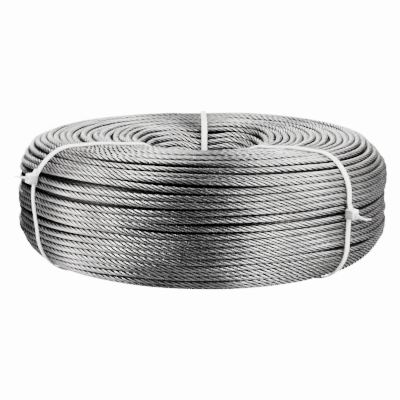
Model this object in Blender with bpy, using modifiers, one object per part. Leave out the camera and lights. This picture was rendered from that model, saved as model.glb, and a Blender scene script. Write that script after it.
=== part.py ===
"""Coil of steel wire rope lying flat, its wound turns held by three nylon cable ties.

Run with: blender --background --python part.py
Metres, +Z up. The origin is on the coil's axis, at the level of the floor that it lies on.
"""

import math

import bmesh
import bpy
from mathutils import Matrix, Vector

# The rope and the body that its wound turns make up.
ROPE_DIAMETER = 0.0032
COIL_OUTER_RADIUS = 0.094
BORE_RADIUS = 0.0255
COIL_HEIGHT = 0.061
OUTER_TOP_ROUND = 0.0185
OUTER_BOTTOM_ROUND = 0.0195
INNER_TOP_ROUND = 0.0150
INNER_BOTTOM_ROUND = 0.0150
GROOVE_DEPTH = 0.0012
SIDES_ROUND_AXIS = 36

# A cable tie: its strap, and the head that the strap's end is pulled through.
STRAP_WIDTH = 0.0030
STRAP_THICKNESS = 0.0009
STRAP_GAP = 0.0003
STRAP_SEGMENTS_PER_CORNER = 7
HEAD_WIDTH = 0.0050
HEAD_LENGTH = 0.0052
HEAD_DEPTH = 0.0042
HEAD_ROUNDING = 0.0007
TAIL_WIDTH = 0.0026
TAIL_THICKNESS = 0.0009
TAIL_ROOT = 0.0012
TAIL_STUB = 0.0008

# Where each tie is: degrees round the axis from +X, and its head's level as a share of the height.
LEFT_TIE_AZIMUTH = 212.0
LEFT_HEAD_LEVEL = 0.75
RIGHT_TIE_AZIMUTH = 316.5
RIGHT_HEAD_LEVEL = 0.55
BACK_TIE_AZIMUTH = 89.5
BACK_HEAD_LEVEL = 0.11

# Each tail's run from its head's outer face, as (distance out, rise). The back one is cut off short.
LEFT_TAIL = ((0.0025, 0.0000), (0.0052, 0.0003))
RIGHT_TAIL = ((0.0030, -0.0011), (0.0062, -0.0015), (0.0090, -0.0004))
BACK_TAIL = ((TAIL_STUB, 0.0000),)

STEEL = (0.46, 0.46, 0.47, 1.0)
NYLON = (0.86, 0.85, 0.84, 1.0)

# The coil is carried on the straps that pass under it.
COIL_BOTTOM = STRAP_GAP + STRAP_THICKNESS
COIL_TOP = COIL_BOTTOM + COIL_HEIGHT


def clear_scene():
    for obj in list(bpy.data.objects):
        bpy.data.objects.remove(obj)


def section_corners(offset):
    """The section's four rounded corners, from the outer top one downwards.

    Each is (centre radius, centre height, rounding, start angle), grown outwards by offset.
    """
    return (
        (COIL_OUTER_RADIUS - OUTER_TOP_ROUND, COIL_TOP - OUTER_TOP_ROUND,
         OUTER_TOP_ROUND + offset, math.pi / 2),
        (COIL_OUTER_RADIUS - OUTER_BOTTOM_ROUND, COIL_BOTTOM + OUTER_BOTTOM_ROUND,
         OUTER_BOTTOM_ROUND + offset, 0.0),
        (BORE_RADIUS + INNER_BOTTOM_ROUND, COIL_BOTTOM + INNER_BOTTOM_ROUND,
         INNER_BOTTOM_ROUND + offset, -math.pi / 2),
        (BORE_RADIUS + INNER_TOP_ROUND, COIL_TOP - INNER_TOP_ROUND,
         INNER_TOP_ROUND + offset, -math.pi),
    )


def section_outline(offset, segments_per_corner):
    """Points (radius, height) round the section, down its outer side, offset out from the crests."""
    points = []
    for centre_r, centre_z, rounding, start in section_corners(offset):
        for step in range(segments_per_corner + 1):
            angle = start - (math.pi / 2) * step / segments_per_corner
            points.append(
                Vector((
                    centre_r + rounding * math.cos(angle),
                    centre_z + rounding * math.sin(angle),
                ))
            )
    return points


def evenly_spaced(points, count):
    """count points at equal spacing round a closed outline, each with the outline's outward normal."""
    closed = points + [points[0]]
    lengths = [(b - a).length for a, b in zip(closed, closed[1:])]
    spacing = sum(lengths) / count
    placed = []
    for index in range(count):
        along = index * spacing
        for start, end, length in zip(closed, closed[1:], lengths):
            if along <= length:
                break
            along -= length
        direction = (end - start).normalized()
        placed.append((start + direction * along, Vector((-direction.y, direction.x))))
    return placed, sum(lengths)


def wound_profile():
    """The section's outline with one crest and one groove for each turn of rope that shows."""
    arc_segments = 24
    centre_line = section_outline(-ROPE_DIAMETER / 2, arc_segments)
    _, length = evenly_spaced(centre_line, 1)
    turns = round(length / ROPE_DIAMETER)
    places, _ = evenly_spaced(centre_line, 2 * turns)
    profile = []
    for index, (point, outward) in enumerate(places):
        depth = 0.0 if index % 2 == 0 else GROOVE_DEPTH
        profile.append(point + outward * (ROPE_DIAMETER / 2 - depth))
    return profile


def material(name, colour, roughness, metallic):
    made = bpy.data.materials.new(name)
    made.use_nodes = True
    shader = made.node_tree.nodes["Principled BSDF"]
    shader.inputs["Base Color"].default_value = colour
    shader.inputs["Roughness"].default_value = roughness
    shader.inputs["Metallic"].default_value = metallic
    return made


def add_object(name, data, collection, finish):
    obj = bpy.data.objects.new(name, data)
    collection.objects.link(obj)
    obj.data.materials.append(finish)
    return obj


def make_coil(collection, finish):
    """All the turns as one turned solid with its bore, open from top to bottom."""
    mesh = bpy.data.meshes.new("rope_coil")
    profile = [(point.x, 0.0, point.y) for point in wound_profile()]
    edges = [(i, (i + 1) % len(profile)) for i in range(len(profile))]
    mesh.from_pydata(profile, edges, [])
    coil = add_object("rope_coil", mesh, collection, finish)
    screw = coil.modifiers.new("turn", "SCREW")
    screw.axis = "Z"
    screw.angle = 2 * math.pi
    screw.steps = SIDES_ROUND_AXIS
    screw.render_steps = SIDES_ROUND_AXIS
    screw.use_merge_vertices = True
    screw.merge_threshold = 0.00001
    screw.use_smooth_shade = True
    return coil


def outer_seat(share, offset):
    """The point on the coil's outer side at a share of its height, offset out from the crests.

    The surface's outward direction there comes with it.
    """
    level = COIL_BOTTOM + share * COIL_HEIGHT
    upper, lower, _, _ = section_corners(0.0)
    for (centre_r, centre_z, rounding, _), beyond in ((upper, level > upper[1]), (lower, level < lower[1])):
        if beyond:
            angle = math.asin((level - centre_z) / rounding)
            outward = Vector((math.cos(angle), math.sin(angle)))
            return Vector((centre_r, centre_z)) + outward * (rounding + offset), outward
    return Vector((COIL_OUTER_RADIUS + offset, level)), Vector((1.0, 0.0))


def flat_plate(name, outlines, width):
    """A plate in the XZ plane, centred on it: its outlines filled, less any outline inside another."""
    curve = bpy.data.curves.new(name, "CURVE")
    curve.dimensions = "2D"
    curve.fill_mode = "BOTH"
    curve.extrude = width / 2
    for outline in outlines:
        spline = curve.splines.new("POLY")
        spline.points.add(len(outline) - 1)
        for control, point in zip(spline.points, outline):
            control.co = (point.x, point.y, 0.0, 1.0)
        spline.use_cyclic_u = True
    obj = bpy.data.objects.new(name, curve)
    bpy.context.scene.collection.objects.link(obj)
    obj.rotation_euler.x = math.pi / 2
    return meshed(obj)


def meshed(obj):
    """The evaluated object as a welded mesh in world space. The object itself is removed."""
    bpy.context.view_layer.update()
    graph = bpy.context.evaluated_depsgraph_get()
    mesh = bpy.data.meshes.new_from_object(obj.evaluated_get(graph))
    mesh.transform(obj.matrix_world)
    shape = bmesh.new()
    shape.from_mesh(mesh)
    bmesh.ops.remove_doubles(shape, verts=shape.verts, dist=1e-6)
    bmesh.ops.recalc_face_normals(shape, faces=shape.faces)
    shape.to_mesh(mesh)
    shape.free()
    bpy.data.objects.remove(obj)
    return mesh


def strap_mesh():
    """The strap's closed loop, lying on the crests of the turns all round the section."""
    inner = section_outline(STRAP_GAP, STRAP_SEGMENTS_PER_CORNER)
    outer = section_outline(STRAP_GAP + STRAP_THICKNESS, STRAP_SEGMENTS_PER_CORNER)
    return flat_plate("strap", (outer, inner), STRAP_WIDTH)


def head_mesh(seat, outward):
    """The head's block, its inner face sunk in the strap and its edges rounded."""
    sunk = STRAP_THICKNESS / 2
    centre = seat + outward * (HEAD_DEPTH + sunk) / 2
    bpy.ops.mesh.primitive_cube_add(size=1.0)
    head = bpy.context.object
    head.data.transform(Matrix.Diagonal((HEAD_DEPTH - sunk, HEAD_WIDTH, HEAD_LENGTH, 1.0)))
    bevel = head.modifiers.new("rounding", "BEVEL")
    bevel.width = HEAD_ROUNDING
    bevel.segments = 2
    head.rotation_euler.y = -math.atan2(outward.y, outward.x)
    head.location = (centre.x, 0.0, centre.y)
    return meshed(head)


def tail_mesh(seat, outward, run):
    """The end of the strap, standing out of the head's slot along run."""
    across = Vector((-outward.y, outward.x))
    face = seat + outward * HEAD_DEPTH
    line = [face - outward * TAIL_ROOT]
    line += [face + outward * out + across * rise for out, rise in run]
    half = TAIL_THICKNESS / 2
    above, below = [], []
    for index, point in enumerate(line):
        before = line[max(index - 1, 0)]
        after = line[min(index + 1, len(line) - 1)]
        direction = (after - before).normalized()
        side = Vector((-direction.y, direction.x)) * half
        above.append(point + side)
        below.append(point - side)
    return flat_plate("tail", (above + below[::-1],), TAIL_WIDTH)


def hidden_helper(name, mesh, collection):
    helper = bpy.data.objects.new(name, mesh)
    collection.objects.link(helper)
    helper.hide_render = True
    helper.display_type = "WIRE"
    return helper


def make_tie(name, azimuth, head_level, tail_run, collection, helpers, finish):
    """One cable tie as one moulded piece: the strap's loop, its head and the tail left standing out."""
    turn = Matrix.Rotation(math.radians(azimuth), 4, "Z")
    seat, outward = outer_seat(head_level, STRAP_GAP)
    shapes = (strap_mesh(), head_mesh(seat, outward), tail_mesh(seat, outward, tail_run))
    for mesh in shapes:
        mesh.transform(turn)
        mesh.materials.clear()
    strap, *joined = shapes
    tie = add_object(name, strap, collection, finish)
    for mesh in joined:
        other = hidden_helper(f"{name}_{mesh.name}", mesh, helpers)
        union = tie.modifiers.new(mesh.name, "BOOLEAN")
        union.operation = "UNION"
        union.object = other
    return tie


def main():
    clear_scene()
    scene_collection = bpy.context.scene.collection
    parts = bpy.data.collections.new("wire_rope_coil")
    helpers = bpy.data.collections.new("helpers")
    scene_collection.children.link(parts)
    scene_collection.children.link(helpers)

    steel = material("steel_rope", STEEL, roughness=0.35, metallic=1.0)
    nylon = material("nylon", NYLON, roughness=0.45, metallic=0.0)

    make_coil(parts, steel)
    ties = (
        ("tie_left", LEFT_TIE_AZIMUTH, LEFT_HEAD_LEVEL, LEFT_TAIL),
        ("tie_right", RIGHT_TIE_AZIMUTH, RIGHT_HEAD_LEVEL, RIGHT_TAIL),
        ("tie_back", BACK_TIE_AZIMUTH, BACK_HEAD_LEVEL, BACK_TAIL),
    )
    for name, azimuth, head_level, tail_run in ties:
        make_tie(name, azimuth, head_level, tail_run, parts, helpers, nylon)


main()
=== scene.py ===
"""Coil of steel wire rope held by nylon cable ties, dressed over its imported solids.

Metres, +Z up. The coil's axis is the Z axis, and the photographed front faces -Y.
"""

import math

import bmesh
import bpy
import numpy as np
from mathutils import Matrix, Vector


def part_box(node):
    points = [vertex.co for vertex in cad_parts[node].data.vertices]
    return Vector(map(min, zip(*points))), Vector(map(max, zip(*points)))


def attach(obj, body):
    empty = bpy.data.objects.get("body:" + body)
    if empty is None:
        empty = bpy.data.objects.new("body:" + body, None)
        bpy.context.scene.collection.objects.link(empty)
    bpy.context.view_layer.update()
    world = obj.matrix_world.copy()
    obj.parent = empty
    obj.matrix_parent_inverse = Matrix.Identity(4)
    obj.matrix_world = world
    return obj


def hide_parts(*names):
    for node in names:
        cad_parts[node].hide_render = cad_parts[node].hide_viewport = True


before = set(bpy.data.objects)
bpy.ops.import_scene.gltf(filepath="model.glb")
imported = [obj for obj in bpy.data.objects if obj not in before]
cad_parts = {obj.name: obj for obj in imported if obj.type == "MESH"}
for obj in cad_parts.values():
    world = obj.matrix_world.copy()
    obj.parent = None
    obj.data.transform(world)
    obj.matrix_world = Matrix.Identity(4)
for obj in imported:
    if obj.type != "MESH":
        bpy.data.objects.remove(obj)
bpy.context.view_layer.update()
coil_low, coil_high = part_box("rope_coil")


# The camera stands where the photograph's did: low in front of the coil and well back from it, with
# a long lens, so the far side looks almost as large as the near side.
CAMERA_DISTANCE = 0.671
CAMERA_ELEVATION = math.radians(11.64)
CAMERA_ROLL = math.radians(0.5)
LENS_MM = 117.0
COIL_MIDDLE = Vector((0.0, 0.0, (coil_low[2] + coil_high[2]) / 2))
PICTURE_WIDTH_PX = 400.0
COIL_MIDDLE_PX = Vector((202.4, 191.0))

camera_data = bpy.data.cameras.new("camera")
camera_data.lens = LENS_MM
camera_data.sensor_width = 36.0
camera_data.clip_start = 0.05
camera_data.clip_end = 50.0
camera_data.shift_x = -(COIL_MIDDLE_PX.x - PICTURE_WIDTH_PX / 2) / PICTURE_WIDTH_PX
camera_data.shift_y = (COIL_MIDDLE_PX.y - PICTURE_WIDTH_PX / 2) / PICTURE_WIDTH_PX
camera = bpy.data.objects.new("camera", camera_data)
bpy.context.scene.collection.objects.link(camera)
camera.location = COIL_MIDDLE + CAMERA_DISTANCE * Vector(
    (0.0, -math.cos(CAMERA_ELEVATION), math.sin(CAMERA_ELEVATION))
)
camera.rotation_euler = (
    Matrix.Rotation(math.pi / 2 - CAMERA_ELEVATION, 3, "X") @ Matrix.Rotation(CAMERA_ROLL, 3, "Z")
).to_euler()
bpy.context.scene.camera = camera


# The floor is a wide sheet of pale studio paper, seen to beyond the top of the picture. The picture's
# ground is whiter to the eye than the table that the steel mirrors, so only the camera sees it glow.
FLOOR_SIZE = 16.0

bpy.ops.object.select_all(action="DESELECT")
bpy.ops.mesh.primitive_plane_add(size=FLOOR_SIZE)
floor = bpy.context.object
floor.name = "floor"
paper = bpy.data.materials.new("studio_paper")
paper.use_nodes = True
paper_nodes = paper.node_tree.nodes
paper_links = paper.node_tree.links
paper_shader = paper_nodes["Principled BSDF"]
paper_shader.inputs["Base Color"].default_value = (0.20, 0.20, 0.21, 1.0)
paper_shader.inputs["Roughness"].default_value = 0.9
paper_shader.inputs["Specular IOR Level"].default_value = 0.0
ground_glow = paper_nodes.new("ShaderNodeEmission")
ground_glow.inputs["Strength"].default_value = 14.0
seen_directly = paper_nodes.new("ShaderNodeLightPath")
ground_mix = paper_nodes.new("ShaderNodeMixShader")
paper_links.new(seen_directly.outputs["Is Camera Ray"], ground_mix.inputs[0])
paper_links.new(paper_shader.outputs[0], ground_mix.inputs[1])
paper_links.new(ground_glow.outputs[0], ground_mix.inputs[2])
paper_links.new(ground_mix.outputs[0], paper_nodes["Material Output"].inputs["Surface"])
floor.data.materials.append(paper)


# Plain studio light: on each side of the camera a tall softbox and a small high one, with a dark gap
# between the sides that the steel shows as the dim band down its middle. One softbox lights the right
# edge, two stand behind and above, with a gap between them too, and a dim room fills in all round.
SOFTBOX_COLOUR = (1.0, 0.977, 0.95)


def add_softbox(name, distance, azimuth, elevation, width, height, power):
    """An area light at an azimuth from the front and an elevation in degrees, facing the coil."""
    azimuth, elevation = math.radians(azimuth), math.radians(elevation)
    light = bpy.data.lights.new(name, "AREA")
    light.shape = "RECTANGLE"
    light.size = width
    light.size_y = height
    light.energy = power
    light.color = SOFTBOX_COLOUR
    softbox = bpy.data.objects.new(name, light)
    bpy.context.scene.collection.objects.link(softbox)
    place = COIL_MIDDLE + distance * Vector((
        math.sin(azimuth) * math.cos(elevation),
        -math.cos(azimuth) * math.cos(elevation),
        math.sin(elevation),
    ))
    softbox.location = place
    softbox.rotation_euler = (COIL_MIDDLE - place).to_track_quat("-Z", "Y").to_euler()


add_softbox("softbox_left", 0.90, -64.0, 20.0, 0.18, 0.8, 37.0)
add_softbox("softbox_left_high", 0.90, -64.0, 54.0, 0.25, 0.45, 5.0)
add_softbox("softbox_right", 0.90, 54.0, 20.0, 0.18, 0.8, 41.0)
add_softbox("softbox_right_high", 0.90, 84.0, 54.0, 0.25, 0.45, 8.0)
add_softbox("softbox_right_edge", 1.2, 112.0, 20.0, 0.4, 0.8, 5.0)
add_softbox("softbox_behind_left", 1.3, 196.0, 34.0, 0.32, 0.6, 16.0)
add_softbox("softbox_behind_right", 1.3, 166.0, 34.0, 0.26, 0.6, 20.0)

room = bpy.data.worlds.new("studio")
bpy.context.scene.world = room
room.use_nodes = True
room.node_tree.nodes["Background"].inputs["Color"].default_value = (0.82, 0.90, 1.0, 1.0)
room.node_tree.nodes["Background"].inputs["Strength"].default_value = 0.09


# The rope is one length of bare steel wire rope: six strands laid right-handed round a seventh.
# Its turns were wound side by side, so they lie in shallow slopes, with a wedge of gap here and
# there. This is how the turns that show, and those just under them, lie.
ROPE_DIAMETER = 0.0032
LAY_LENGTH = 6.3 * ROPE_DIAMETER
BORE_RADIUS = 0.0255
INNER_ROUND = 0.0150
OUTER_TOP_ROUND = 0.0185
OUTER_BOTTOM_ROUND = 0.0195
CREST_CLEARANCE = 0.0009
LAYER_STEP = 0.87 * ROPE_DIAMETER
SLUMP = 0.0026
SLUMP_OUTER = 0.064
SLUMP_RUN = 0.026
STATIONS = 180
TIE_AZIMUTHS = {"tie_left": 212.0, "tie_right": 316.5, "tie_back": 89.5}
# How far each strap strays sideways from its tie's plane: all along, towards the rim, at mid height.
STRAP_STRAY = {
    "tie_left": (0.0026, 0.0, -0.0056),
    "tie_right": (0.0, 0.0, 0.0006),
    "tie_back": (0.0, 0.0006, 0.0),
}
# Where those strays start and how far they run, as shares of the coil's radius and of its height.
RIM_STRAY_FROM, RIM_STRAY_RUN = 0.56, 0.28
SIDE_STRAY_FROM, SIDE_STRAY_RUN = 0.83, 0.13
MID_STRAY_LEVEL, MID_STRAY_SPREAD = 0.60, 0.21


def strap_azimuth(tie_name, radius, level):
    """Where round the axis a strap is at a radius and level, in radians."""
    all_along, towards_rim, at_mid_height = STRAP_STRAY[tie_name]
    coil_radius = coil_high[0]
    rim_share = radius / coil_radius - RIM_STRAY_FROM
    side_share = np.clip((radius / coil_radius - SIDE_STRAY_FROM) / SIDE_STRAY_RUN, 0.0, 1.0)
    from_mid = (level - MID_STRAY_LEVEL * coil_high[2]) / (MID_STRAY_SPREAD * coil_high[2])
    mid_share = np.exp(-(from_mid ** 2))
    sideways = (
        all_along
        + towards_rim * rim_share / RIM_STRAY_RUN
        + at_mid_height * side_share * mid_share
    )
    return math.radians(TIE_AZIMUTHS[tie_name]) + sideways / radius


def section_outline(inset, sunk):
    """The line through the outermost turns' centres, from the middle of the bottom round to there.

    It goes in under the coil, up the bore, out over the top and down the outside. Each row is
    radius, height, outward direction and distance along the line.
    """
    outer = coil_high[0] - inset
    inner = BORE_RADIUS + inset
    top = coil_high[2] - inset
    bottom = coil_low[2] + inset - sunk
    corners = (
        (inner, bottom, 1, 1, INNER_ROUND - inset, 270.0),
        (inner, top, 1, -1, INNER_ROUND - inset, 180.0),
        (outer, top, -1, -1, OUTER_TOP_ROUND - inset, 90.0),
        (outer, bottom, -1, 1, OUTER_BOTTOM_ROUND - inset, 0.0),
    )
    steps = np.linspace(0.0, 90.0, 25)
    start_row = ((inner + outer) / 2, bottom, 0.0, -1.0)
    rows = [start_row]
    for corner_r, corner_z, toward_r, toward_z, rounding, start in corners:
        for step in steps:
            angle = math.radians(start - step)
            out_r, out_z = math.cos(angle), math.sin(angle)
            rows.append((
                corner_r + toward_r * rounding + rounding * out_r,
                corner_z + toward_z * rounding + rounding * out_z,
                out_r,
                out_z,
            ))
    rows.append(start_row)
    rows = np.array(rows)
    steps_along = np.hypot(np.diff(rows[:, 0]), np.diff(rows[:, 1]))
    along = np.concatenate(([0.0], np.cumsum(steps_along)))
    return np.column_stack((rows, along))


# The coil's weight presses its lowest turns down onto the straps that pass under it.
ROPE_SUNK = 0.0010
outline = section_outline(ROPE_DIAMETER / 2 + CREST_CLEARANCE, ROPE_SUNK)
outline_length = outline[-1, 4]


def on_section(along, height):
    """Radius and height above the floor of a point at a distance along the outline and off it."""
    along = np.mod(along, outline_length)
    radius, level, out_r, out_z = (np.interp(along, outline[:, 4], outline[:, i]) for i in range(4))
    places = np.stack((radius + height * out_r, level + height * out_z), axis=-1)
    return places, np.stack((out_r, out_z), axis=-1)


def settled(points):
    """The points where they lie in the coil, which has slumped a little at its rim round the bore.

    The slump is on the near side only, and fades out towards the outside and downwards.
    """
    radius = np.hypot(points[:, 0], points[:, 1])
    towards_bore = 0.5 - 0.5 * np.cos(math.pi * np.clip((SLUMP_OUTER - radius) / SLUMP_RUN, 0.0, 1.0))
    near_side = np.clip(0.5 - 0.5 * points[:, 1] / radius, 0.0, 1.0) ** 1.5
    height = np.clip((points[:, 2] - coil_low[2]) / (coil_high[2] - coil_low[2]), 0.0, 1.0)
    lowered = points.copy()
    lowered[:, 2] -= SLUMP * towards_bore * near_side * height ** 2
    return lowered


def smoothed(values, width):
    """A run of values blurred over a number of stations, its ends held."""
    reach = int(3 * width)
    weights = np.exp(-0.5 * (np.arange(-reach, reach + 1) / width) ** 2)
    padded = np.pad(values, reach, mode="edge")
    return np.convolve(padded, weights / weights.sum(), mode="valid")


def ripple(random, count, width):
    """Smooth random values with a mean of 0 and a spread of 1."""
    values = smoothed(random.standard_normal(count), width)
    return (values - values.mean()) / values.std()


# The gaps between turns open and close over two lengths, given in turns, and are so many diameters.
SHORT_RIPPLE, LONG_RIPPLE = 0.04, 0.11
GAP_SPREAD, GAP_LEAST, GAP_MOST = 0.17, -0.15, 0.5
ALONG_BLUR = 2.0


def wind_turns(seed, turns, tightest, looseness, memory):
    """Where each turn lies along the outline at each station, one turn after the other.

    A turn lies close beside the last one, and here and there a gap opens between them and closes
    again. Its drift from its even place fades over the turns that follow.
    """
    random = np.random.default_rng(seed)
    pitch = outline_length / turns
    short = ripple(random, turns * STATIONS, SHORT_RIPPLE * STATIONS)
    long = ripple(random, turns * STATIONS, LONG_RIPPLE * STATIONS)
    gap = np.clip(GAP_SPREAD * short + GAP_SPREAD * long, GAP_LEAST, GAP_MOST)
    gap = (looseness * gap * ROPE_DIAMETER).reshape(turns, STATIONS)
    on_top = np.abs(np.arange(turns) / turns - TOP_SHARE) < TOP_HALF_SHARE
    gap[on_top] *= TOP_LOOSENESS
    gap -= gap.mean()
    along = np.zeros((turns, STATIONS))
    drift = np.zeros(STATIONS)
    for turn in range(turns):
        drift = memory * drift + gap[turn]
        along[turn] = pitch * (turn + np.arange(STATIONS) / STATIONS) + drift
        if turn > 0:
            along[turn] = np.maximum(along[turn], along[turn - 1] + tightest * ROPE_DIAMETER)
    return smoothed(along.ravel(), ALONG_BLUR).reshape(turns, STATIONS)


# Resting heights are counted from so many diameters inside the outline. Strands bed into each other,
# so turns touch with their middles a little less than a diameter apart.
REST_FROM = 2.5
TOUCH_SHARE = 0.98


def rest_height(along, below):
    """How far off the outline a turn comes to rest on the turns already laid, at each station."""
    start, outward = on_section(along, np.full(STATIONS, -REST_FROM * ROPE_DIAMETER))
    to_below = below - start
    up = (to_below * outward).sum(axis=-1)
    aside_squared = (to_below ** 2).sum(axis=-1) - up ** 2
    contact = (TOUCH_SHARE * ROPE_DIAMETER) ** 2
    touching = aside_squared < contact
    rest = np.where(touching, up + np.sqrt(np.clip(contact - aside_squared, 0.0, None)), 0.0)
    return rest.max(axis=0) - REST_FROM * ROPE_DIAMETER


# The turns that lie on top were pressed together more than those on the outside.
TOP_SHARE, TOP_HALF_SHARE, TOP_LOOSENESS = 0.47, 0.18, 0.5
inner_along = wind_turns(seed=5, turns=62, tightest=0.98, looseness=0.3, memory=0.7)
inner_height = np.full(inner_along.shape, -LAYER_STEP)
inner_places, _ = on_section(inner_along, inner_height)

PROUD_LIMIT = 0.35 * ROPE_DIAMETER
outer_along = wind_turns(seed=77, turns=67, tightest=0.88, looseness=1.45, memory=0.88)
outer_height = np.zeros(outer_along.shape)
laid = list(inner_places)
for turn in range(len(outer_along)):
    outer_height[turn] = rest_height(outer_along[turn], np.array(laid))
    outer_height[turn] = np.minimum(outer_height[turn], PROUD_LIMIT)
    laid.append(on_section(outer_along[turn], outer_height[turn])[0])

# The straps hold the turns down where they cross, and the floor does so under the coil.
HOLD_REACH = math.radians(8.0)
UNDER_FACING, UNDER_PROUD_LIMIT = 0.3, 0.0003
HEIGHT_BLUR = 2.5
station_azimuths = np.arange(STATIONS) * 2 * math.pi / STATIONS
outer_places, outward = on_section(outer_along, outer_height)
held = np.zeros(outer_along.shape)
for tie_name in TIE_AZIMUTHS:
    off = station_azimuths - strap_azimuth(tie_name, outer_places[..., 0], outer_places[..., 1])
    off = (off + math.pi) % (2 * math.pi) - math.pi
    held = np.maximum(held, np.exp(-((off / HOLD_REACH) ** 2)))
proud = np.maximum(outer_height, 0.0)
outer_height -= proud * held
under = np.clip(-outward[..., 1], 0.0, 1.0)
pressed = np.minimum(outer_height, UNDER_PROUD_LIMIT)
outer_height = np.where(under > UNDER_FACING, pressed, outer_height)
outer_height = smoothed(outer_height.ravel(), HEIGHT_BLUR).reshape(outer_height.shape)

OUTER_STRANDS = 6


def strand_outline(name, crown_offsets, crown_radius, groove_radius):
    """The rope's outline across its length, a closed curve with one lobe for each outer strand."""
    curve = bpy.data.curves.new(name, "CURVE")
    curve.dimensions = "2D"
    points = []
    for strand in range(OUTER_STRANDS):
        middle = strand * 2 * math.pi / OUTER_STRANDS
        for offset in crown_offsets:
            points.append((
                crown_radius * math.cos(middle + offset),
                crown_radius * math.sin(middle + offset),
            ))
        groove_at = middle + math.pi / OUTER_STRANDS
        points.append((groove_radius * math.cos(groove_at), groove_radius * math.sin(groove_at)))
    spline = curve.splines.new("POLY")
    spline.points.add(len(points) - 1)
    for point, (x, y) in zip(spline.points, points):
        point.co = (x, y, 0.0, 1.0)
    spline.use_cyclic_u = True
    obj = bpy.data.objects.new(name, curve)
    bpy.context.scene.collection.objects.link(obj)
    return obj, len(points)


LINE_POINTS_A_TURN = 720


def rope_run(name, along, height, from_turn, to_turn, section, section_points, rings_per_lay):
    """A stretch of rope: its run as a curve, swept with the strand outline that turns as it goes."""
    turns, stations = along.shape
    places, outward = on_section(along.ravel(), height.ravel())
    turn_count = np.arange(turns * stations) / stations
    line_points = int((to_turn - from_turn) * LINE_POINTS_A_TURN) + 1
    fine = np.linspace(from_turn, to_turn, line_points)
    radius = np.interp(fine, turn_count, places[:, 0])
    level = np.interp(fine, turn_count, places[:, 1])
    line = np.column_stack((
        radius * np.cos(2 * math.pi * fine),
        radius * np.sin(2 * math.pi * fine),
        level,
    ))
    travelled = np.concatenate(([0.0], np.cumsum(np.linalg.norm(np.diff(line, axis=0), axis=1))))
    ring_step = LAY_LENGTH / rings_per_lay
    stops = np.arange(int(travelled[-1] / ring_step) + 1) * ring_step
    line = settled(np.column_stack([np.interp(stops, travelled, line[:, axis]) for axis in range(3)]))
    curve = bpy.data.curves.new(name, "CURVE")
    curve.dimensions = "3D"
    curve.twist_mode = "Z_UP"
    curve.bevel_mode = "OBJECT"
    curve.bevel_object = section
    curve.use_fill_caps = True
    spline = curve.splines.new("POLY")
    spline.points.add(len(line) - 1)
    spline.points.foreach_set("co", np.column_stack((line, np.ones(len(line)))).ravel())
    lay_angle = 2 * math.pi / rings_per_lay
    spline.points.foreach_set("tilt", np.mod(np.arange(len(line)) * lay_angle, 2 * math.pi))
    run = bpy.data.objects.new(name, curve)
    bpy.context.scene.collection.objects.link(run)
    bpy.ops.object.select_all(action="DESELECT")
    run.select_set(True)
    bpy.context.view_layer.objects.active = run
    bpy.ops.object.convert(target="MESH")
    run.data.materials.clear()
    # The sweep leaves the run's sides looking inwards, so all its faces are turned over. Its two flat
    # end faces looked outwards before, so this leaves them looking inwards.
    bpy.ops.object.mode_set(mode="EDIT")
    bpy.ops.mesh.select_all(action="SELECT")
    bpy.ops.mesh.flip_normals()
    bpy.ops.object.mode_set(mode="OBJECT")
    # The sweep lists the points of its two end faces first, and then one ring after the other.
    points = len(run.data.vertices)
    ring = (np.arange(points) - 2 * section_points) // section_points
    ring[:section_points] = 0
    ring[section_points:2 * section_points] = len(line) - 1
    place_in_ring = np.arange(points) % section_points
    outward_turn = np.interp(stops, travelled, fine)
    out_r = np.interp(outward_turn, turn_count, outward[:, 0])
    out_z = np.interp(outward_turn, turn_count, outward[:, 1])
    out = np.column_stack((
        out_r * np.cos(2 * math.pi * outward_turn),
        out_r * np.sin(2 * math.pi * outward_turn),
        out_z,
    ))
    co = np.empty(points * 3)
    run.data.vertices.foreach_get("co", co)
    from_middle = co.reshape(-1, 3) - line[ring]
    from_middle /= np.linalg.norm(from_middle, axis=1, keepdims=True)
    # How far each point faces out of the coil, and which points lie in the grooves: the steel uses
    # these for its painted shade.
    exposure = (from_middle * out[ring]).sum(axis=1)
    points_a_strand = section_points // OUTER_STRANDS
    groove = place_in_ring % points_a_strand == points_a_strand - 1
    for attribute_name, values in (("exposure", exposure), ("crown", np.where(groove, 0.0, 1.0))):
        attribute = run.data.attributes.new(attribute_name, "FLOAT", "POINT")
        attribute.data.foreach_set("value", values)
    loop_vertex = np.empty(len(run.data.loops), np.int32)
    run.data.loops.foreach_get("vertex_index", loop_vertex)
    around = place_in_ring[loop_vertex].astype(float)
    face_start = np.empty(len(run.data.polygons), np.int32)
    run.data.polygons.foreach_get("loop_start", face_start)
    highest = np.repeat(
        np.maximum.reduceat(around, face_start), np.diff(np.append(face_start, len(around)))
    )
    around[(around == 0) & (highest == section_points - 1)] = section_points
    uv = np.column_stack((ring[loop_vertex] / rings_per_lay, around / section_points))
    run.data.uv_layers[0].data.foreach_set("uv", uv.ravel())
    return run
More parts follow.
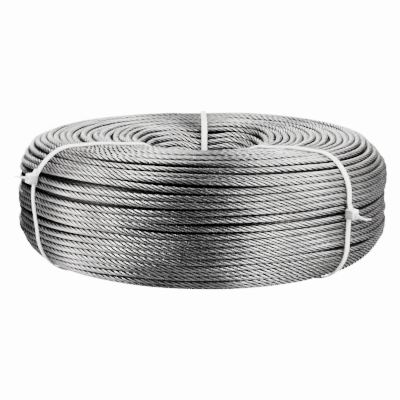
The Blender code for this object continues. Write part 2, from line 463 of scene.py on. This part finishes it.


# Bare drawn steel: bright on the crowns of the strands, and painted dark down in the grooves and
# between the turns, which is painted shade along with old oil. The wires of each strand lie along the
# rope.
def rope_surface_group():
    """Colour, roughness and wire relief of wire rope, from its strand and exposure attributes."""
    group = bpy.data.node_groups.new("rope_surface", "ShaderNodeTree")
    # The second colour is the dark one: painted shade in the grooves and between the turns, along with
    # old oil.
    for socket_name, kind, default in (
        ("Crown Colour", "NodeSocketColor", (0.6, 0.6, 0.61, 1.0)),
        ("Shade And Oil Colour", "NodeSocketColor", (0.03, 0.03, 0.03, 1.0)),
        ("Roughness", "NodeSocketFloat", 0.3),
    ):
        socket = group.interface.new_socket(socket_name, in_out="INPUT", socket_type=kind)
        socket.default_value = default
    for socket_name, kind in (
        ("Colour", "NodeSocketColor"), ("Roughness", "NodeSocketFloat"), ("Height", "NodeSocketFloat")
    ):
        group.interface.new_socket(socket_name, in_out="OUTPUT", socket_type=kind)
    nodes, links = group.nodes, group.links
    given = nodes.new("NodeGroupInput")
    result = nodes.new("NodeGroupOutput")

    def math_node(operation, first, second=None):
        node = nodes.new("ShaderNodeMath")
        node.operation = operation
        for socket, value in zip(node.inputs, (first, second)):
            if isinstance(value, (int, float)):
                socket.default_value = value
            elif value is not None:
                links.new(value, socket)
        return node.outputs[0]

    def mapped(value, low, high, to_low, to_high):
        node = nodes.new("ShaderNodeMapRange")
        node.interpolation_type = "SMOOTHSTEP"
        links.new(value, node.inputs["Value"])
        for socket_name, number in (
            ("From Min", low), ("From Max", high), ("To Min", to_low), ("To Max", to_high)
        ):
            node.inputs[socket_name].default_value = number
        return node.outputs["Result"]

    crown = nodes.new("ShaderNodeAttribute")
    crown.attribute_name = "crown"
    exposure = nodes.new("ShaderNodeAttribute")
    exposure.attribute_name = "exposure"
    # Painted shade, with some old oil: the steel is mixed towards its dark colour in the grooves
    # between strands and where a turn faces its neighbours.
    crown_share = mapped(crown.outputs["Fac"], 0.4, 1.0, 0.0, 1.0)
    exposed_share = mapped(exposure.outputs["Fac"], 0.18, 0.72, 0.0, 1.0)
    coordinates = nodes.new("ShaderNodeTexCoord")
    patches = nodes.new("ShaderNodeTexNoise")
    patches.inputs["Scale"].default_value = 55.0
    patches.inputs["Detail"].default_value = 6.0
    patches.inputs["Roughness"].default_value = 0.75
    links.new(coordinates.outputs["Object"], patches.inputs["Vector"])
    patch_share = mapped(patches.outputs["Fac"], 0.35, 0.65, 0.5, 1.0)
    bright = math_node("MULTIPLY", math_node("MULTIPLY", crown_share, exposed_share), patch_share)
    colour = nodes.new("ShaderNodeMix")
    colour.data_type = "RGBA"
    links.new(bright, colour.inputs["Factor"])
    links.new(given.outputs["Shade And Oil Colour"], colour.inputs["A"])
    links.new(given.outputs["Crown Colour"], colour.inputs["B"])
    links.new(colour.outputs["Result"], result.inputs["Colour"])

    uv = nodes.new("ShaderNodeSeparateXYZ")
    links.new(coordinates.outputs["UV"], uv.inputs[0])
    strand = math_node("FLOOR", math_node("MULTIPLY", uv.outputs["Y"], float(OUTER_STRANDS)))
    straight_round = math_node("SUBTRACT", uv.outputs["Y"], uv.outputs["X"])
    wire_count = 26.0
    phase_a_strand = 1.9
    groove_roughness = 0.1
    wire_turn = math_node("MULTIPLY", straight_round, 2 * math.pi * wire_count)
    wire_phase = math_node("ADD", wire_turn, math_node("MULTIPLY", strand, phase_a_strand))
    wires = math_node("ABSOLUTE", math_node("SINE", math_node("MULTIPLY", wire_phase, 0.5)))
    links.new(wires, result.inputs["Height"])
    dull_share = math_node("SUBTRACT", 1.0, bright)
    added_roughness = math_node("MULTIPLY", dull_share, groove_roughness)
    rough = math_node("ADD", given.outputs["Roughness"], added_roughness)
    links.new(rough, result.inputs["Roughness"])
    return group


rope_surface = rope_surface_group()


def rope_steel(name, crown_colour, shade_and_oil_colour, roughness):
    """One copy of the rope's steel, with its own colours in the shared surface."""
    steel = bpy.data.materials.new(name)
    steel.use_nodes = True
    nodes, links = steel.node_tree.nodes, steel.node_tree.links
    shader = nodes["Principled BSDF"]
    shader.inputs["Metallic"].default_value = 1.0
    # The fine wires spread the light across themselves, and hardly along the rope.
    shader.inputs["Anisotropic"].default_value = 0.92
    shader.inputs["Anisotropic Rotation"].default_value = 0.25
    surface = nodes.new("ShaderNodeGroup")
    surface.node_tree = rope_surface
    surface.inputs["Crown Colour"].default_value = crown_colour
    surface.inputs["Shade And Oil Colour"].default_value = shade_and_oil_colour
    surface.inputs["Roughness"].default_value = roughness
    bump = nodes.new("ShaderNodeBump")
    bump.inputs["Strength"].default_value = 0.32
    bump.inputs["Distance"].default_value = 0.0001
    links.new(surface.outputs["Colour"], shader.inputs["Base Color"])
    links.new(surface.outputs["Roughness"], shader.inputs["Roughness"])
    links.new(surface.outputs["Height"], bump.inputs["Height"])
    links.new(bump.outputs["Normal"], shader.inputs["Normal"])
    return steel


drawn_steel = rope_steel("drawn_steel", (0.52, 0.52, 0.525, 1.0), (0.012, 0.012, 0.012, 1.0), 0.38)
# The layer beneath gets a much darker copy of the same steel: painted shade for the gaps between the
# turns that show, with some old oil.
shaded_oily_steel = rope_steel("shaded_oily_steel", (0.10, 0.10, 0.10, 1.0), (0.012, 0.012, 0.012, 1.0), 0.40)

# The rope that shows has two points on each strand's crown, and the rope beneath it has one.
CROWN_HALF_ANGLE = math.radians(12)
CROWN_RADIUS, GROOVE_RADIUS = 0.00158, 0.00102
PLAIN_CROWN_RADIUS, PLAIN_GROOVE_RADIUS = 0.0016, 0.00115
RINGS_PER_LAY, PLAIN_RINGS_PER_LAY = 11, 8
ROPE_SMOOTH_ANGLE = math.radians(84.0)
rope_section, rope_section_points = strand_outline(
    "rope_section", (-CROWN_HALF_ANGLE, CROWN_HALF_ANGLE), CROWN_RADIUS, GROOVE_RADIUS
)
plain_section, plain_section_points = strand_outline(
    "plain_section", (0.0,), PLAIN_CROWN_RADIUS, PLAIN_GROOVE_RADIUS
)

# The runs that show, one for each side of the coil. Each ends and the next begins under the left tie,
# by a share of the corner's rounding before the corner's end.
CUT_BACK, OUTER_TOP_CUT_BACK = 0.4, 0.6
# The outline's rows are the middle of the bottom, the four corners and that middle again. This is the
# distance along the outline at the last row of each corner.
corner_ends = outline[1:-1].reshape(4, -1, 5)[:, -1, 4]
bore_from = corner_ends[0] - CUT_BACK * INNER_ROUND
top_from = corner_ends[1] - CUT_BACK * INNER_ROUND
outside_from = corner_ends[2] - OUTER_TOP_CUT_BACK * OUTER_TOP_ROUND
bottom_from = corner_ends[3] - CUT_BACK * OUTER_BOTTOM_ROUND
lower_from = (outside_from + bottom_from) / 2
starts = np.array((bore_from, top_from, outside_from, lower_from, bottom_from))
cut_places, _ = on_section(starts, 0.0)
cut_azimuths = strap_azimuth("tie_left", cut_places[:, 0], cut_places[:, 1])
cuts = np.floor(starts / outline_length * len(outer_along)) + cut_azimuths / (2 * math.pi)
cuts = np.concatenate(([0.0], cuts, [len(outer_along) - 1.0 / STATIONS]))
run_names = (
    "rope_under_bore", "rope_bore", "rope_top",
    "rope_outside_upper", "rope_outside_lower", "rope_bottom",
)
for run_name, first, last in zip(run_names, cuts, cuts[1:]):
    run = rope_run(
        run_name, outer_along, outer_height, first, last,
        rope_section, rope_section_points, RINGS_PER_LAY,
    )
    run.data.materials.append(drawn_steel)
    bpy.ops.object.shade_smooth_by_angle(angle=ROPE_SMOOTH_ANGLE)
    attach(run, "root")
    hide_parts("rope_coil")

# The turns of the layer beneath show only in the gaps. Their steel is a much darker copy of the rope's,
# which is painted shade for the gaps along with old oil.
inner_half = len(inner_along) / 2
for run_name, first, last in (
    ("rope_under_first", 0.0, inner_half),
    ("rope_under_second", inner_half, len(inner_along) - 1.0 / STATIONS),
):
    run = rope_run(
        run_name, inner_along, inner_height, first, last,
        plain_section, plain_section_points, PLAIN_RINGS_PER_LAY,
    )
    run.data.materials.append(shaded_oily_steel)
    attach(run, "root")
    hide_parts("rope_coil")

for helper in (rope_section, plain_section):
    bpy.data.objects.remove(helper)


# The turns deeper in are more of the same steel rope, wound on before the ones that show, and can't be
# seen. One plain dark body, spun round the axis, stands for them, so no light comes through.
CORE_STEPS = 72
CORE_CLEARANCE = 0.3
core_inset = ROPE_DIAMETER / 2 + CREST_CLEARANCE + LAYER_STEP + CORE_CLEARANCE * ROPE_DIAMETER
core_line = section_outline(core_inset, ROPE_SUNK)
core_mesh = bpy.data.meshes.new("rope_core")
core_points = [(r, 0.0, z) for r, z in core_line[:-1, :2]]
core_edges = [(i, (i + 1) % len(core_points)) for i in range(len(core_points))]
core_mesh.from_pydata(core_points, core_edges, [])
core = bpy.data.objects.new("rope_core", core_mesh)
bpy.context.scene.collection.objects.link(core)
bpy.ops.object.select_all(action="DESELECT")
core.select_set(True)
bpy.context.view_layer.objects.active = core
bpy.ops.object.mode_set(mode="EDIT")
bpy.ops.mesh.select_all(action="SELECT")
bpy.ops.mesh.spin(
    steps=CORE_STEPS, angle=2 * math.pi, center=(0.0, 0.0, 0.0), axis=(0.0, 0.0, 1.0)
)
bpy.ops.mesh.select_all(action="SELECT")
bpy.ops.mesh.remove_doubles(threshold=1e-6)
bpy.ops.mesh.normals_make_consistent(inside=False)
bpy.ops.object.mode_set(mode="OBJECT")
core_points = np.empty(3 * len(core.data.vertices))
core.data.vertices.foreach_get("co", core_points)
core.data.vertices.foreach_set("co", settled(core_points.reshape(-1, 3)).ravel())
core_steel = bpy.data.materials.new("steel_in_shadow")
core_steel.use_nodes = True
core_shader = core_steel.node_tree.nodes["Principled BSDF"]
core_shader.inputs["Base Color"].default_value = (0.03, 0.03, 0.03, 1.0)
core_shader.inputs["Roughness"].default_value = 0.9
core.data.materials.append(core_steel)
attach(core, "root")
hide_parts("rope_coil")


# Three small ties of natural white nylon hold the turns, each moulded in one piece. The strap goes
# once round the section and out through the slot in its own head, where a pawl locks it. Its teeth
# face the rope, so they show only on the tail that was pulled through, up to where it was cut off.
STRAP_WIDTH = 0.0028
STRAP_THICKNESS = 0.0008
STRAP_EDGE = 0.00028
HEAD_DEPTH, HEAD_WIDTH, HEAD_LENGTH = 0.0042, 0.0050, 0.0052
HEAD_CORNER = 0.0009
SLOT_WIDTH, SLOT_HEIGHT, SLOT_DEPTH = 0.0033, 0.0015, 0.0016
HEAD_DRAFT = 0.86
PANEL_MARGIN, PANEL_DEPTH = 0.0006, 0.0002
NECK_LENGTH, NECK_THICKNESS = 0.0026, 0.0020
NECK_TOP_WIDTH_SHARE, NECK_LAP_SHARE = 0.96, 0.2
TOOTH_PITCH, TOOTH_HEIGHT = 0.0007, 0.00025
TOOTH_LENGTH_SHARE, TOOTH_WIDTH_SHARE = 0.8, 0.62
TOOTH_TIP_LENGTH_SHARE, TOOTH_TIP_WIDTH_SHARE = 0.25, 0.94
TIE_SMOOTH_ANGLE = math.radians(38.0)
STRAP_RINGS = 168
STRAP_SEAT = 0.0005
STRAP_SUNK = 0.0008
TAIL_SHARE = 0.87
HEAD_LEVELS = {"tie_left": 0.75, "tie_right": 0.55, "tie_back": 0.11}
TAIL_RUNS = {
    "tie_left": ((0.0030, 0.0000), (0.0068, 0.0004)),
    "tie_right": ((0.0030, -0.0011), (0.0062, -0.0015), (0.0090, -0.0004)),
    "tie_back": ((0.0008, 0.0000),),
}
TAIL_TIP_SHARE = {"tie_left": 0.62, "tie_right": 0.50, "tie_back": 0.87}

nylon = bpy.data.materials.new("white_nylon")
nylon.use_nodes = True
nylon_nodes, nylon_links = nylon.node_tree.nodes, nylon.node_tree.links
nylon_shader = nylon_nodes["Principled BSDF"]
nylon_shader.inputs["Subsurface Weight"].default_value = 0.6
nylon_shader.inputs["Subsurface Radius"].default_value = (1.0, 0.95, 0.9)
nylon_shader.inputs["Subsurface Scale"].default_value = 0.002
nylon_coordinates = nylon_nodes.new("ShaderNodeTexCoord")
cloudiness = nylon_nodes.new("ShaderNodeTexNoise")
cloudiness.inputs["Scale"].default_value = 260.0
cloudiness.inputs["Detail"].default_value = 3.0
nylon_links.new(nylon_coordinates.outputs["Object"], cloudiness.inputs["Vector"])
nylon_tone = nylon_nodes.new("ShaderNodeMix")
nylon_tone.data_type = "RGBA"
nylon_tone.inputs["A"].default_value = (0.89, 0.885, 0.87, 1.0)
nylon_tone.inputs["B"].default_value = (0.96, 0.96, 0.955, 1.0)
nylon_links.new(cloudiness.outputs["Fac"], nylon_tone.inputs["Factor"])
nylon_links.new(nylon_tone.outputs["Result"], nylon_shader.inputs["Base Color"])
nylon_sheen = nylon_nodes.new("ShaderNodeMapRange")
nylon_sheen.inputs["To Min"].default_value = 0.32
nylon_sheen.inputs["To Max"].default_value = 0.50
nylon_links.new(cloudiness.outputs["Fac"], nylon_sheen.inputs["Value"])
nylon_links.new(nylon_sheen.outputs["Result"], nylon_shader.inputs["Roughness"])
moulded_grain = nylon_nodes.new("ShaderNodeTexNoise")
moulded_grain.inputs["Scale"].default_value = 2600.0
nylon_links.new(nylon_coordinates.outputs["Object"], moulded_grain.inputs["Vector"])
nylon_bump = nylon_nodes.new("ShaderNodeBump")
nylon_bump.inputs["Strength"].default_value = 0.25
nylon_bump.inputs["Distance"].default_value = 0.00003
nylon_links.new(moulded_grain.outputs["Fac"], nylon_bump.inputs["Height"])
nylon_links.new(nylon_bump.outputs["Normal"], nylon_shader.inputs["Normal"])


def rounded_band(name, width, thickness, edge):
    """A closed curve across a band, flat with its four long edges rounded."""
    curve = bpy.data.curves.new(name, "CURVE")
    curve.dimensions = "2D"
    points = []
    for side_x, side_y, start in ((1, 1, 0.0), (-1, 1, 90.0), (-1, -1, 180.0), (1, -1, 270.0)):
        for step in (0.0, 45.0, 90.0):
            angle = math.radians(start + step)
            points.append((
                side_x * (width / 2 - edge) + edge * math.cos(angle),
                side_y * (thickness / 2 - edge) + edge * math.sin(angle),
            ))
    spline = curve.splines.new("POLY")
    spline.points.add(len(points) - 1)
    for point, (x, y) in zip(spline.points, points):
        point.co = (x, y, 0.0, 1.0)
    spline.use_cyclic_u = True
    obj = bpy.data.objects.new(name, curve)
    bpy.context.scene.collection.objects.link(obj)
    return obj


def swept(name, points, radii, section, closed):
    """A band swept along its middle line, as a mesh."""
    curve = bpy.data.curves.new(name, "CURVE")
    curve.dimensions = "3D"
    curve.bevel_mode = "OBJECT"
    curve.bevel_object = section
    curve.use_fill_caps = not closed
    spline = curve.splines.new("POLY")
    spline.points.add(len(points) - 1)
    for control, point, radius in zip(spline.points, points, radii):
        control.co = (*point, 1.0)
        control.radius = radius
    spline.use_cyclic_u = closed
    obj = bpy.data.objects.new(name, curve)
    bpy.context.scene.collection.objects.link(obj)
    bpy.ops.object.select_all(action="DESELECT")
    obj.select_set(True)
    bpy.context.view_layer.objects.active = obj
    bpy.ops.object.convert(target="MESH")
    bpy.ops.object.mode_set(mode="EDIT")
    bpy.ops.mesh.select_all(action="SELECT")
    bpy.ops.mesh.remove_doubles(threshold=1e-6)
    bpy.ops.mesh.normals_make_consistent(inside=False)
    bpy.ops.object.mode_set(mode="OBJECT")
    return obj


def select_faces(piece, wanted):
    """In edit mode, select just the faces whose middle and normal are wanted."""
    bpy.ops.mesh.select_mode(type="FACE")
    bpy.ops.mesh.select_all(action="DESELECT")
    shape = bmesh.from_edit_mesh(piece.data)
    for face in shape.faces:
        face.select_set(wanted(face.calc_center_median(), face.normal))
    bmesh.update_edit_mesh(piece.data)


def tie_head(name):
    """A head with its strap side at x = 0, the strap along Z, and its slot opening out along +X."""
    bpy.ops.object.select_all(action="DESELECT")
    bpy.ops.mesh.primitive_cube_add(size=1.0)
    head = bpy.context.object
    head.name = name
    bpy.ops.object.mode_set(mode="EDIT")
    bpy.ops.mesh.select_all(action="SELECT")
    bpy.ops.transform.resize(value=(HEAD_DEPTH, HEAD_WIDTH, HEAD_LENGTH))
    bpy.ops.transform.translate(value=(HEAD_DEPTH / 2, 0.0, 0.0))
    # The outer end is drawn in a little, and the corners along the slot's axis are well rounded.
    select_faces(head, lambda middle, normal: normal.x > 0.9)
    bpy.ops.transform.resize(value=(1.0, HEAD_DRAFT, HEAD_DRAFT))
    bpy.ops.mesh.select_mode(type="EDGE")
    bpy.ops.mesh.select_all(action="DESELECT")
    shape = bmesh.from_edit_mesh(head.data)
    for edge in shape.edges:
        edge.select_set(abs(edge.verts[0].co.x - edge.verts[1].co.x) > HEAD_DEPTH / 2)
    bmesh.update_edit_mesh(head.data)
    bpy.ops.mesh.bevel(offset=HEAD_CORNER, segments=4)
    select_faces(head, lambda middle, normal: normal.x > 0.9)
    bpy.ops.mesh.bevel(offset=HEAD_CORNER / 2, segments=3)
    # The slot goes in from the middle of the outer face.
    select_faces(head, lambda middle, normal: normal.x > 0.999)
    bpy.ops.mesh.inset(thickness=HEAD_CORNER / 3)
    mouth_width = HEAD_WIDTH * HEAD_DRAFT - 2 * HEAD_CORNER * (1 / 2 + 1 / 3)
    mouth_height = HEAD_LENGTH * HEAD_DRAFT - 2 * HEAD_CORNER * (1 / 2 + 1 / 3)
    bpy.ops.transform.resize(value=(1.0, SLOT_WIDTH / mouth_width, SLOT_HEIGHT / mouth_height))
    bpy.ops.mesh.extrude_region_move(TRANSFORM_OT_translate={"value": (-SLOT_DEPTH, 0.0, 0.0)})
    # Each flank has a shallow sunk panel.
    for side in (-1, 1):
        select_faces(
            head,
            lambda middle, normal: normal.y * side > 0.95 and abs(middle.y) > HEAD_WIDTH * 0.4,
        )
        bpy.ops.mesh.inset(thickness=PANEL_MARGIN)
        bpy.ops.transform.translate(value=(0.0, -side * PANEL_DEPTH, 0.0))
    bpy.ops.mesh.select_all(action="SELECT")
    bpy.ops.mesh.normals_make_consistent(inside=False)
    bpy.ops.object.mode_set(mode="OBJECT")
    return head


def tie_neck(name):
    """Where the strap thickens into its head, from z = 0 upwards."""
    bpy.ops.object.select_all(action="DESELECT")
    bpy.ops.mesh.primitive_cube_add(size=1.0)
    neck = bpy.context.object
    neck.name = name
    bpy.ops.object.mode_set(mode="EDIT")
    bpy.ops.mesh.select_all(action="SELECT")
    bpy.ops.transform.resize(value=(NECK_THICKNESS, STRAP_WIDTH, NECK_LENGTH))
    bpy.ops.transform.translate(value=(NECK_THICKNESS / 2, 0.0, NECK_LENGTH / 2))
    select_faces(neck, lambda middle, normal: normal.z > 0.9)
    bpy.ops.transform.resize(
        value=(STRAP_THICKNESS / NECK_THICKNESS, NECK_TOP_WIDTH_SHARE, 1.0),
        center_override=(0.0, 0.0, 0.0),
    )
    bpy.ops.mesh.select_all(action="SELECT")
    bpy.ops.mesh.bevel(offset=STRAP_EDGE / 2, segments=2)
    bpy.ops.object.mode_set(mode="OBJECT")
    return neck


def tail_tooth(name):
    """One tooth of the strap: a ridge across it, steep on the side that the pawl catches."""
    bpy.ops.object.select_all(action="DESELECT")
    bpy.ops.mesh.primitive_cube_add(size=1.0)
    tooth = bpy.context.object
    tooth.name = name
    bpy.ops.object.mode_set(mode="EDIT")
    bpy.ops.mesh.select_all(action="SELECT")
    tooth_length = TOOTH_PITCH * TOOTH_LENGTH_SHARE
    bpy.ops.transform.resize(value=(tooth_length, STRAP_WIDTH * TOOTH_WIDTH_SHARE, TOOTH_HEIGHT * 2))
    select_faces(tooth, lambda middle, normal: normal.z > 0.9)
    bpy.ops.transform.resize(
        value=(TOOTH_TIP_LENGTH_SHARE, TOOTH_TIP_WIDTH_SHARE, 1.0),
        center_override=(tooth_length / 2, 0.0, TOOTH_HEIGHT),
    )
    bpy.ops.object.mode_set(mode="OBJECT")
    return tooth


def joined(name, pieces):
    """The parts of one moulding as one mesh, its object at the origin."""
    bpy.ops.object.select_all(action="DESELECT")
    for piece in pieces:
        piece.select_set(True)
    bpy.context.view_layer.objects.active = pieces[0]
    bpy.ops.object.join()
    pieces[0].name = name
    pieces[0].data.name = name
    return pieces[0]


def outer_seat(level_share):
    """Radius, height and outward direction where a head sits, from the rows of the outline."""
    level = coil_low[2] + level_share * (coil_high[2] - coil_low[2])
    rows = strap_rows[strap_rows[:, 0] > (BORE_RADIUS + coil_high[0]) / 2]
    rows = rows[np.argsort(rows[:, 1])]
    return [float(np.interp(level, rows[:, 1], rows[:, column])) for column in range(4)]


strap_section = rounded_band("strap_section", STRAP_WIDTH, STRAP_THICKNESS, STRAP_EDGE)
strap_rows = section_outline(STRAP_SEAT - STRAP_THICKNESS / 2, STRAP_SUNK)[:-1]
strap_rows = strap_rows[np.concatenate(([True], np.diff(strap_rows[:, 4]) > 1e-7))]
strap_along = np.linspace(0.0, strap_rows[-1, 4], STRAP_RINGS, endpoint=False)
for tie_name in TIE_AZIMUTHS:
    radius = np.interp(strap_along, strap_rows[:, 4], strap_rows[:, 0])
    level = np.interp(strap_along, strap_rows[:, 4], strap_rows[:, 1])
    around = strap_azimuth(tie_name, radius, level)
    loop = settled(np.column_stack((radius * np.cos(around), radius * np.sin(around), level)))
    strap = swept(tie_name + "_strap", loop, np.ones(len(loop)), strap_section, closed=True)
    seat_r, seat_z, out_r, out_z = outer_seat(HEAD_LEVELS[tie_name])
    lean = math.atan2(out_z, out_r)
    seat_azimuth = float(strap_azimuth(tie_name, seat_r, seat_z))
    to_seat = (
        Matrix.Rotation(seat_azimuth, 4, "Z")
        @ Matrix.Translation((seat_r, 0.0, seat_z))
        @ Matrix.Rotation(-lean, 4, "Y")
    )
    head = tie_head(tie_name + "_head")
    neck = tie_neck(tie_name + "_neck")
    neck_level = HEAD_LENGTH / 2 - NECK_LENGTH * NECK_LAP_SHARE
    neck.data.transform(Matrix.Translation((-STRAP_THICKNESS / 2, 0.0, neck_level)))
    tail_line = np.array(
        [(HEAD_DEPTH - SLOT_DEPTH, 0.0)]
        + [(HEAD_DEPTH + out, rise) for out, rise in TAIL_RUNS[tie_name]]
    )
    tail_along = np.concatenate(([0.0], np.cumsum(np.hypot(*np.diff(tail_line, axis=0).T))))
    stops = np.arange(0.0, tail_along[-1], TOOTH_PITCH)
    tail_x = smoothed(np.interp(stops, tail_along, tail_line[:, 0]), 1.0)
    tail_z = smoothed(np.interp(stops, tail_along, tail_line[:, 1]), 1.0)
    taper = 1.0 - (1.0 - TAIL_TIP_SHARE[tie_name]) * stops / stops[-1]
    tail = swept(
        tie_name + "_tail", np.column_stack((tail_x, np.zeros(len(stops)), tail_z)), taper * TAIL_SHARE,
        strap_section, closed=False,
    )
    pieces = [strap, head, neck, tail]
    for index in range(1, len(stops) - 2):
        tooth = tail_tooth(f"{tie_name}_tooth_{index}")
        slope = math.atan2(tail_z[index + 1] - tail_z[index], tail_x[index + 1] - tail_x[index])
        tooth.data.transform(
            Matrix.Translation((tail_x[index], 0.0, tail_z[index]))
            @ Matrix.Rotation(-slope, 4, "Y")
            @ Matrix.Translation((0.0, 0.0, STRAP_THICKNESS / 2 * taper[index] * TAIL_SHARE))
            @ Matrix.Diagonal((1.0, taper[index], 1.0, 1.0))
        )
        pieces.append(tooth)
    for piece in pieces[1:]:
        piece.data.transform(to_seat)
    tie = joined(tie_name + "_nylon", pieces)
    tie.data.materials.clear()
    tie.data.materials.append(nylon)
    bpy.ops.object.shade_smooth_by_angle(angle=TIE_SMOOTH_ANGLE)
    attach(tie, "root")
    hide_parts(tie_name)
bpy.data.objects.remove(strap_section)
